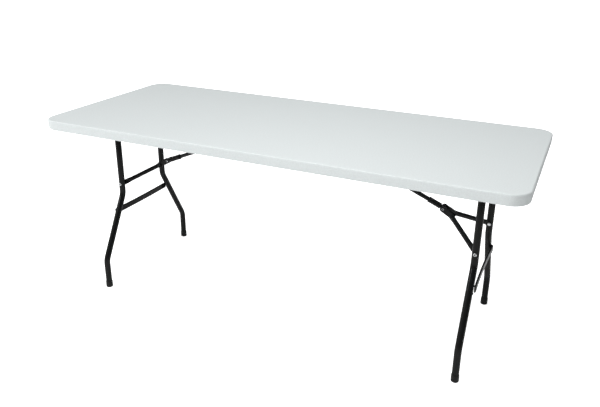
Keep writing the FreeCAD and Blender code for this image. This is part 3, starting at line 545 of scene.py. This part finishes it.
# %% Dimpled underside
RING_RADII = np.array([0, 5.6, 8.2, 10.4]) * MM
RING_RISES = np.array([5.0, 4.7, 1.3, 0]) * MM
bracket_low, bracket_high = (np.array(corner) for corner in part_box("strut_bracket_right"))
rail_near = abs(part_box("side_rail_front")[1][1])


def tile_parts(run):
    """For each grid value: its tile's middle, and its share of the way out from it, -1 to 1."""
    index = np.arange(len(run))
    tile = np.minimum(index // DIMPLE_CELLS, (len(run) - 2) // DIMPLE_CELLS)
    share = (index - tile * DIMPLE_CELLS) / (DIMPLE_CELLS / 2) - 1
    return run[0] + (run[1] - run[0]) * DIMPLE_CELLS * (tile + 0.5), share


middle_x, share_x = tile_parts(grid_x)
middle_y, share_y = tile_parts(grid_y)
MX, MY = np.meshgrid(middle_x, middle_y, indexing="ij")
SX, SY = np.meshgrid(share_x, share_y, indexing="ij")
GX, GY = np.meshgrid(grid_x, grid_y, indexing="ij")
ring = np.maximum(abs(SX), abs(SY))
clear_of_rail = abs(MY) < rail_near - 18 * MM
over_bracket = (
    (abs(MX) > bracket_low[0] - 12 * MM) & (abs(MX) < bracket_high[0] + 12 * MM)
    & (abs(MY) < bracket_high[1] + 8 * MM)
)
dimpled = (ring < 0.99) & clear_of_rail & ~over_bracket
RING_STEPS = [0, 0.25, 0.5, 0.75]
radius = np.interp(ring, RING_STEPS, RING_RADII)
rise = np.interp(ring, RING_STEPS, RING_RISES)
reach = np.maximum(np.hypot(SX, SY), 1e-9)
under = np.stack((
    np.where(dimpled, MX + radius * SX / reach, GX),
    np.where(dimpled, MY + radius * SY / reach, GY),
    top_high[2] - PANEL_MM * MM + np.where(dimpled, rise, 0),
), axis=2)
make_piece("moulded_top", [field, band, under], "top", "tabletop")

# %% [markdown]
# Each leg is one steel tube, bent twice: straight down from its axle, out, and straight down
# into its foot. A tube that is bent cold goes slightly oval in the bend, so the section narrows
# by a few percent there. The top end is left open, with its wall showing.

# %% Legs
ENDS = {"right": 1.0, "left": -1.0}
SIDES = {"front": -1.0, "rear": 1.0}
ACROSS = np.array((1.0, 0.0, 0.0))
WIDE = np.array((0.0, 1.0, 0.0))
TALL = np.array((0.0, 0.0, 1.0))
leg_place = middle("leg_front_right")
LEG_X = leg_place[0]
AXLE_Z = middle("axle_tube_right")[2]
LEG_TOP_Y = (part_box("leg_rivets_right")[1][1] - 2.4 * MM) - 12.7 * MM
FOOT_Y = middle("foot_cap_rear_right")[1]
LEG_TOP_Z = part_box("leg_front_right")[1][2]
BEND_HEIGHTS = (383 * MM, 126 * MM)
TUBE, TUBE_WALL = 12.7 * MM, 1.2 * MM
LEG_BEND = 65 * MM
LEG_FOOT = 4 * MM


def make_leg(end, side):
    x, near, far = ENDS[end] * LEG_X, SIDES[side] * LEG_TOP_Y, SIDES[side] * FOOT_Y
    line = bent_line([
        (x, near, LEG_TOP_Z), (x, near, BEND_HEIGHTS[0]),
        (x, far, BEND_HEIGHTS[1]), (x, far, LEG_FOOT),
    ], LEG_BEND)
    length = line[0]
    bends = [length[1:15].mean(), length[15:29].mean()]
    narrowed = sum(0.045 * np.exp(-((length - bend) / (16 * MM)) ** 2) for bend in bends)
    wall = rows([14 * MM, 14 * MM, 0.4 * MM], [0, TUBE - TUBE_WALL, TUBE - TUBE_WALL])
    lip = rows([0, 0], [TUBE - TUBE_WALL + 0.3 * MM, TUBE - 0.3 * MM])
    shaft = rows(np.append(0.4 * MM, length[1:]), TUBE * (1 - narrowed), TUBE * (1 + narrowed / 3))
    foot = rows([length[-1]], [0])
    grid = along_line(line, ACROSS, wall, lip, shaft, foot)
    make_piece(f"bent_leg_{side}_{end}", [grid], f"legs_{end}", f"leg_{side}_{end}")


for end in ENDS:
    for side in SIDES:
        make_leg(end, side)

# %% [markdown]
# The feet are moulded cups pushed over the tubes. They are turned shapes: a profile of radius
# and height swept round the leg's line. The profile has a rounded sole, two grip grooves and a
# lip that thins towards the tube, all of which show as soft lines in black plastic.

# %% Feet
CUP, CUP_TALL = 14.3, 28.0
CUP_PROFILE = np.array([
    (0, 0.6), (8.6, 0.6), (9.4, 0), (11.6, 0), (13.0, 0.4), (13.9, 1.3), (CUP, 2.8),
    (CUP, 5.4), (13.75, 6.0), (13.75, 7.0), (CUP, 7.6), (CUP, 9.6), (13.75, 10.2),
    (13.75, 11.2), (CUP, 11.8), (CUP - 0.1, 22), (CUP - 0.1, 25.6), (CUP - 0.4, 27.2),
    (13.3, CUP_TALL), (12.8, CUP_TALL), (12.72, 26), (12.72, 18), (0, 18),
]) * MM
for end in ENDS:
    for side in SIDES:
        spot = (ENDS[end] * LEG_X, SIDES[side] * FOOT_Y, 0)
        profile = rows(CUP_PROFILE[:, 1], CUP_PROFILE[:, 0])
        grid = straight(spot, TALL, ACROSS, profile, around=48)
        make_piece(f"foot_cup_{side}_{end}", [grid], f"legs_{end}", f"foot_cap_{side}_{end}")

# %% [markdown]
# The axle runs through both leg tops and turns in the side rails. It is welded to the legs, and
# a weld is never a clean line: the bead follows the curve where a small tube enters a larger
# one, x = r sin(t), z = r cos(t), depth = sqrt(R^2 - x^2), and swells in ripples. The beads are
# part of the axle's own piece. Plastic plugs with domed heads close its ends.

# %% Axles, welds and plugs
AXLE = 8 * MM
axle_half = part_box("axle_tube_right")[1][1]
PLUG_PROFILE = np.array([
    (0, 4.0), (4, 3.9), (7.4, 3.5), (9.3, 2.8), (10.2, 1.8), (10.5, 0.8), (10.3, 0.1), (10.0, 0),
    (6.4, 0), (6.4, -11.2), (5.8, -12), (0, -12),
]) * MM


def weld_bead(centre, face, out, bead=1.9 * MM, ripples=26):
    """A thin rippled tube along the curve where the axle enters a leg."""
    t = np.linspace(0, 2 * np.pi, 105)
    t[-1] = 0
    x, z = AXLE * np.sin(t), AXLE * np.cos(t)
    depth = np.sqrt(TUBE ** 2 - x ** 2)
    line = np.asarray(centre) + np.outer(x, ACROSS) + np.outer(z, TALL)
    line = line + np.outer(face * depth, WIDE)
    away = np.outer(np.sin(t), ACROSS) + np.outer(np.cos(t), TALL)
    size = bead * (1 + 0.16 * np.sin(ripples * t))
    ring = np.linspace(0, 2 * np.pi, 11)
    ring[-1] = 0
    return (
        line[:, None] + (size[:, None] * np.cos(ring))[..., None] * away[:, None]
        + (size[:, None] * np.sin(ring))[..., None] * (out * WIDE)
    )


for end, x_sign in ENDS.items():
    start = (x_sign * LEG_X, -axle_half, AXLE_Z)
    shaft = rows([0, 0, 0.5 * MM, 2 * axle_half - 0.5 * MM, 2 * axle_half, 2 * axle_half],
                 [0, AXLE - 0.4 * MM, AXLE, AXLE, AXLE - 0.4 * MM, 0])
    grids = [straight(start, WIDE, TALL, shaft)]
    for side in (-1, 1):
        for face in (-1, 1):
            centre = (x_sign * LEG_X, side * LEG_TOP_Y, AXLE_Z)
            grids.append(weld_bead(centre, face, face))
    make_piece(f"welded_axle_{end}", grids, f"legs_{end}", f"axle_tube_{end}")
    profile = rows(PLUG_PROFILE[:, 1], PLUG_PROFILE[:, 0])
    plugs = [
        straight((x_sign * LEG_X, side * axle_half, AXLE_Z), side * WIDE, TALL, profile)
        for side in (-1, 1)
    ]
    make_piece(f"axle_plugs_{end}", plugs, f"legs_{end}", f"axle_caps_{end}")

# %% [markdown]
# A flattened tube ties each pair of legs together, welded to their outer faces. Welding pulls
# it, so it bows towards the table's middle by a few millimetres, and its ends are pinched shut.
# Short beads at its edges hold it to the round legs.

# %% Crossbars
bar_high = np.array(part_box("crossbar_right")[1])
BAR_BOW = 3.5 * MM
PINCH = 9 * MM


def short_bead(centre, half, thick, rise):
    """A rippled drop of weld, thick in the middle and closed at both ends."""
    t = np.linspace(-1, 1, 29)
    size = thick * np.sqrt(np.maximum(1 - t ** 2, 0)) * (1 + 0.12 * np.sin(26 * t))
    size[[0, -1]] = 0
    table = rows(t * half, size, size * rise)
    return straight(centre, WIDE, TALL, table, around=12)


for end, x_sign in ENDS.items():
    bar_x, _, bar_z = middle(f"crossbar_{end}")
    reach = bar_high[1]
    y = np.concatenate((
        -reach + PINCH * eased(7)[:-1], np.linspace(-reach + PINCH, reach - PINCH, 33),
    ))
    y = np.append(y, reach - PINCH * eased(7)[:-1][::-1])
    open_up = np.clip((reach - abs(y)) / PINCH, 0, 1)
    thick = (2.0 + 2.0 * np.sin(open_up * np.pi / 2)) * MM
    table = np.concatenate((
        rows([0], [0], [0], 6), rows(y + reach, thick, 11.6 * MM + 0.4 * MM * open_up, 6),
        rows([2 * reach], [0], [0], 6),
    ))
    bow = BAR_BOW * np.clip(1 - ((table[:, 0] - reach) / (reach - 14 * MM)) ** 2, 0, 1)
    along = table[:, 0] - reach
    centre = np.column_stack((bar_x - x_sign * bow, along, np.full(len(table), bar_z)))
    ahead = np.broadcast_to(WIDE, centre.shape)
    grids = [sections(centre, ahead, TALL, table, around=36)]
    slope = (FOOT_Y - LEG_TOP_Y) / (BEND_HEIGHTS[0] - BEND_HEIGHTS[1])
    for side in (-1, 1):
        for edge in (-1, 1):
            z = bar_z + edge * 11.6 * MM
            leg_y = side * (LEG_TOP_Y + (BEND_HEIGHTS[0] - z) * slope)
            centre = (x_sign * (LEG_X + TUBE + 0.4 * MM), leg_y, z)
            grids.append(short_bead(centre, 6 * MM, 1.6 * MM, 1.2))
    make_piece(f"welded_crossbar_{end}", grids, f"legs_{end}", f"crossbar_{end}")

# %% [markdown]
# The brace at each end starts at a pin under the top. Its strut is a round tube whose upper end
# is pressed flat to fit between two ears. The table of rows presses it: over 22 mm the half
# width eases from a thin strip's to the tube's while the power falls from 6 to 2, which is how
# a pressed tube really widens as it flattens.

# %% Struts
STRUT, STRUT_WALL = 8 * MM, 1.5 * MM
FLAT_TALL = 11 * MM


def rounded_tip(thick, tall, flip=False):
    """Rows that round a strip's end in its own plane: distance -R cos(t), half height R sin(t)."""
    t = np.linspace(0, np.pi / 2, 9)
    table = rows(-tall * np.cos(t), thick, tall * np.sin(t), 6)
    table[0, 1] = thick * 0.8
    if flip:
        table = table[::-1].copy()
        table[:, 0] *= -1
    return table


def taper(start, run, thin, flat, round_size, count=12):
    """Rows that ease a flat strip into a round tube."""
    ease = eased(count)[1:]
    return rows(
        start + run * np.linspace(0, 1, count)[1:], thin + (round_size - thin) * ease,
        flat + (round_size - flat) * ease, 6 - 4 * np.sqrt(ease),
    )


def brace_ways(start, finish):
    """The way along a brace piece, and the way square to it in the upright plane."""
    ahead = unit(finish - start)
    return ahead, np.cross(WIDE, ahead)


for end in ENDS:
    pin, knee = middle(f"strut_pin_{end}"), middle(f"knee_rivet_{end}")
    ahead, tall = brace_ways(pin, knee)
    full = np.linalg.norm(knee - pin) + 12 * MM
    thin = 2.2 * MM
    table = np.concatenate((
        rounded_tip(thin, FLAT_TALL),
        rows([14 * MM], [thin], [FLAT_TALL], 6),
        taper(14 * MM, 22 * MM, thin, FLAT_TALL, STRUT),
        rows([full - 0.4 * MM], [STRUT]),
        rows([full, full], [STRUT - 0.3 * MM, STRUT - STRUT_WALL + 0.3 * MM]),
        rows(
            [full - 0.4 * MM, full - 9 * MM, full - 9 * MM],
            [STRUT - STRUT_WALL, STRUT - STRUT_WALL, 0],
        ),
    ))
    grid = straight(pin, ahead, tall, table)
    make_piece(f"pressed_strut_{end}", [grid], f"strut_{end}", f"strut_{end}")

# %% [markdown]
# A sleeve slides along the strut and drops over the knee to lock the legs open. It is a turned
# ring whose profile is a closed loop: bore, rolled end, barrel with two grip rings, rolled end.

# %% Lock sleeves
BORE, BARREL = 8.3, 10.5
SLEEVE_PROFILE = np.array([
    (BORE, 1.6), (8.6, 0.5), (9.4, 0), (10.3, 0.2), (10.85, 0.9), (11, 2), (11, 4.2), (10.8, 5.2),
    (BARREL, 6), (BARREL, 10), (10.9, 10.8), (10.9, 12.2), (BARREL, 13), (BARREL, 37),
    (10.9, 37.8), (10.9, 39.2), (BARREL, 40), (BARREL, 44), (10.8, 44.8), (11, 45.8), (11, 48),
    (10.85, 49.1), (10.3, 49.8), (9.4, 50), (8.6, 49.5), (BORE, 48.4), (BORE, 1.6),
]) * MM
for end in ENDS:
    pin, knee = middle(f"strut_pin_{end}"), middle(f"knee_rivet_{end}")
    ahead, tall = brace_ways(pin, knee)
    start = middle(f"lock_sleeve_{end}") - 25 * MM * ahead
    profile = rows(SLEEVE_PROFILE[:, 1], SLEEVE_PROFILE[:, 0])
    grid = straight(start, ahead, tall, profile, around=48)
    make_piece(f"rolled_sleeve_{end}", [grid], f"lock_{end}", f"lock_sleeve_{end}")

# %% [markdown]
# Two arms spread from the knee to the legs. Each is a tube pressed flat where it is riveted at
# the knee, bent out, round along its slope, then flat and bent back beside the leg. The bent
# line gives the route, and the same rows as on the strut press both ends.

# %% Arms
ARM = 9 * MM
ARM_THIN = 2.0 * MM
ARM_BEND = 8 * MM
KNEE_FLAT, TAB_REACH = 35 * MM, 12.7 * MM
TAB_TALL = FLAT_TALL * 0.95


def make_arm(end, side):
    knee, leg = middle(f"knee_rivet_{end}"), middle(f"leg_rivets_{end}")
    ahead, tall = brace_ways(knee, leg)
    out = SIDES[side] * WIDE
    low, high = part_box(f"arm_{side}_{end}")
    near_y, far_y = sorted((abs(low[1]), abs(high[1])))
    near_y, far_y = near_y + ARM_THIN, far_y - ARM_THIN
    full = np.linalg.norm(leg - knee)
    turns = [
        (-FLAT_TALL, near_y), (KNEE_FLAT, near_y),
        (full - TAB_REACH, far_y), (full + FLAT_TALL, far_y),
    ]
    line = bent_line([knee + a * ahead + b * out for a, b in turns], ARM_BEND, steps=10)
    total = line[0][-1]
    slope_start, slope_end = line[0][10] + 3 * MM, line[0][11] - 3 * MM
    knee_bend, leg_bend = line[0][1:11], line[0][11:21]
    press = 20 * MM
    inward = taper(0, press, ARM_THIN, TAB_TALL, ARM)[::-1].copy()
    inward[:, 0] = slope_end - inward[:, 0]
    knee_tip = rounded_tip(ARM_THIN, FLAT_TALL)
    leg_tip = rounded_tip(ARM_THIN, TAB_TALL, flip=True)
    knee_tip[:, 0] += FLAT_TALL
    leg_tip[:, 0] += total - FLAT_TALL
    table = np.concatenate((
        knee_tip,
        rows(knee_bend, ARM_THIN, FLAT_TALL, 6), rows([slope_start], [ARM_THIN], [FLAT_TALL], 6),
        taper(slope_start, press, ARM_THIN, FLAT_TALL, ARM), inward,
        rows([slope_end], [ARM_THIN], [TAB_TALL], 6),
        rows(leg_bend, ARM_THIN, TAB_TALL, 6),
        leg_tip,
    ))
    grid = along_line(line, tall, table)
    make_piece(f"pressed_arm_{side}_{end}", [grid], f"yoke_{end}", f"arm_{side}_{end}")


for end in ENDS:
    for side in SIDES:
        make_arm(end, side)

# %% [markdown]
# Tubular rivets hold the arms to the legs: a domed ring with a dark hole in its middle. The
# knee has one long rivet with small heads, and the arms' inner heads are plain domes. All are
# turned profiles of radius and height, the height measured outwards from where the head seats.

# %% Rivets
LEG_RIVET = np.array([
    (0, -9.6), (2.8, -9.6), (2.8, 1.1), (2.9, 1.7), (3.2, 2.1), (3.8, 2.4), (4.6, 2.3), (5.4, 1.8),
    (5.9, 1.1), (6.1, 0.4), (6.1, 0), (3.8, 0), (3.8, -25.4), (0, -25.4),
]) * MM
DOME_RIVET = np.array([
    (0, 2.4), (2.4, 2.3), (4.3, 1.9), (5.7, 1.3), (6.4, 0.6), (6.5, 0), (3.8, 0), (3.8, -4),
    (0, -4),
]) * MM
KNEE_HEAD = np.array([
    (0, -6), (2.6, -6), (2.6, 1.2), (2.9, 1.8), (3.4, 2.0), (4.0, 1.7), (4.3, 1.0), (4.3, 0),
    (3.8, 0), (3.8, -17.3), (0, -17.3),
]) * MM


def turned(profile, seat, ahead, around=36):
    return straight(seat, ahead, TALL, rows(profile[:, 1], profile[:, 0]), around=around)


for end in ENDS:
    rivets = ("leg_rivets", "knee_rivet", "arm_rivets")
    leg, knee, tab = (middle(f"{name}_{end}") for name in rivets)
    leg_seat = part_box(f"leg_rivets_{end}")[1][1] - 2.4 * MM
    knee_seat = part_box(f"knee_rivet_{end}")[1][1] - 2.4 * MM
    tab_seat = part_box(f"arm_rivets_{end}")[1][1] - 4 * MM
    heads = [turned(LEG_RIVET, leg + s * leg_seat * WIDE, s * WIDE) for s in (-1, 1)]
    make_piece(f"tubular_rivets_{end}", heads, f"legs_{end}", f"leg_rivets_{end}")
    heads = [turned(KNEE_HEAD, knee + s * knee_seat * WIDE, s * WIDE) for s in (-1, 1)]
    make_piece(f"knee_pin_{end}", heads, f"yoke_{end}", f"knee_rivet_{end}")
    heads = [turned(DOME_RIVET, tab + s * tab_seat * WIDE, -s * WIDE) for s in (-1, 1)]
    make_piece(f"domed_rivets_{end}", heads, f"yoke_{end}", f"arm_rivets_{end}")
    pin = middle(f"strut_pin_{end}")
    pin_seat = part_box(f"strut_pin_{end}")[1][1] - 2.5 * MM
    pin_head = np.array([
        (0, 2.5), (3.4, 2.4), (5.2, 2.1), (6.1, 1.5), (6.5, 0.7), (6.5, 0), (4, 0), (4, -4.5),
        (0, -4.5),
    ]) * MM
    heads = [turned(pin_head, pin + s * pin_seat * WIDE, s * WIDE) for s in (-1, 1)]
    make_piece(f"domed_pin_{end}", heads, "top", f"strut_pin_{end}")

# %% [markdown]
# The two side rails are sheet steel rolled into channels. The middle line of the sheet is one
# bent line with tight bends; pushed half the sheet's thickness to each side it gives the
# section, and that section is carried straight along the table. The ends are closed by a strip
# between the two faces of the sheet.

# %% Side rails
SHEET = 0.75 * MM


def make_rail(side):
    low, high = (np.array(corner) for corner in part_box(f"side_rail_{side}"))
    web, flange = sorted((abs(low[1]), abs(high[1])))
    sign = SIDES[side]
    corners = [
        (0, sign * flange, high[2] - SHEET), (0, sign * (web + SHEET), high[2] - SHEET),
        (0, sign * (web + SHEET), low[2] + SHEET), (0, sign * (web + 12 * MM), low[2] + SHEET),
    ]
    _, points, ways = bent_line(corners, 2.2 * MM, steps=7)
    push = np.cross(ACROSS, ways) * SHEET
    sheet = np.stack((points - push, points + push), axis=0)
    loop = np.concatenate((sheet[0], sheet[1][::-1], sheet[0][:1]))
    skin = np.stack([loop + x * ACROSS for x in np.linspace(low[0], high[0], 25)])
    caps = [sheet + x * ACROSS for x in (low[0], high[0])]
    make_piece(f"rolled_rail_{side}", [skin, *caps], "top", f"side_rail_{side}")


for side in SIDES:
    make_rail(side)

# %% [markdown]
# Screws with a washer face hold the rails and brackets. A six-sided head is a turned shape
# whose radius depends on the angle as well: across-flats / cos(angle from the nearest flat's
# middle). The rows below say where the head is round and where it is six-sided.

# %% Screws
def hex_screw(seat):
    """Round flange, six-sided head with a chamfer and a shallow dish, pointing down."""
    angle = np.linspace(0, 2 * np.pi, 25)
    angle[-1] = 0
    flats = 1 / np.cos((angle + np.pi / 6) % (np.pi / 3) - np.pi / 6)
    table = np.array([
        (0, 0, 0), (4.75, 0, 0), (4.75, -0.5, 0), (4.5, -0.75, 0), (3.4, -0.85, 1), (3.2, -0.95, 1),
        (3.2, -2.0, 1), (3.05, -2.3, 0.6), (2.5, -2.4, 0), (1.9, -2.3, 0), (1.3, -2.0, 0),
        (0, -1.9, 0),
    ])
    size = table[:, :1] * MM * (1 + table[:, 2:] * (flats - 1))
    return np.stack((
        seat[0] + size * np.cos(angle), seat[1] + size * np.sin(angle),
        np.broadcast_to(seat[2] + table[:, 1:2] * MM, size.shape),
    ), axis=2)


for node, name in (("rail_screws", "rail_hex_screws"), ("bracket_screws", "bracket_hex_screws")):
    low, high = (np.array(corner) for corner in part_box(node))
    seat_z = low[2] + 2.4 * MM
    radius = 4.75 * MM
    if node == "rail_screws":
        xs = np.array((-1, -0.6, -0.2, 0.2, 0.6, 1)) * (high[0] - radius)
    else:
        inner = bracket_low[0] + 11 * MM
        xs = np.array((-high[0] + radius, -inner, inner, high[0] - radius))
    ys = (low[1] + radius, high[1] - radius)
    heads = [hex_screw((x, y, seat_z)) for x in xs for y in ys]
    make_piece(name, heads, "top", node)

# %% [markdown]
# The knee's channel and the two brackets are pressed from flat sheet. Their shape is already
# right, but a real pressing has no knife edges. A copy of the construction mesh is merged, its
# flat faces are joined up, and a Bevel modifier takes a fraction of a millimetre off every
# edge, so that each one catches a line of light.

# %% Eased pressings
def make_pressing(name, node, body, width=0.45 * MM):
    mesh = frame["nodes"][node].data.copy()
    mesh.materials.clear()
    sewing = bmesh.new()
    sewing.from_mesh(mesh)
    bmesh.ops.remove_doubles(sewing, verts=sewing.verts, dist=MERGE)
    bmesh.ops.dissolve_limit(
        sewing, angle_limit=math.radians(1), verts=sewing.verts, edges=sewing.edges
    )
    sewing.to_mesh(mesh)
    sewing.free()
    piece = finish_piece(name, mesh, body, node)
    bevel = piece.modifiers.new("eased_edges", "BEVEL")
    bevel.width = width
    bevel.segments = 2
    bevel.limit_method = "ANGLE"
    bevel.angle_limit = math.radians(50)
    piece.modifiers.new("even_shading", "WEIGHTED_NORMAL")
    return piece


for end in ENDS:
    make_pressing(f"pressed_hub_{end}", f"hub_channel_{end}", f"yoke_{end}")
    make_pressing(f"pressed_bracket_{end}", f"strut_bracket_{end}", "top")
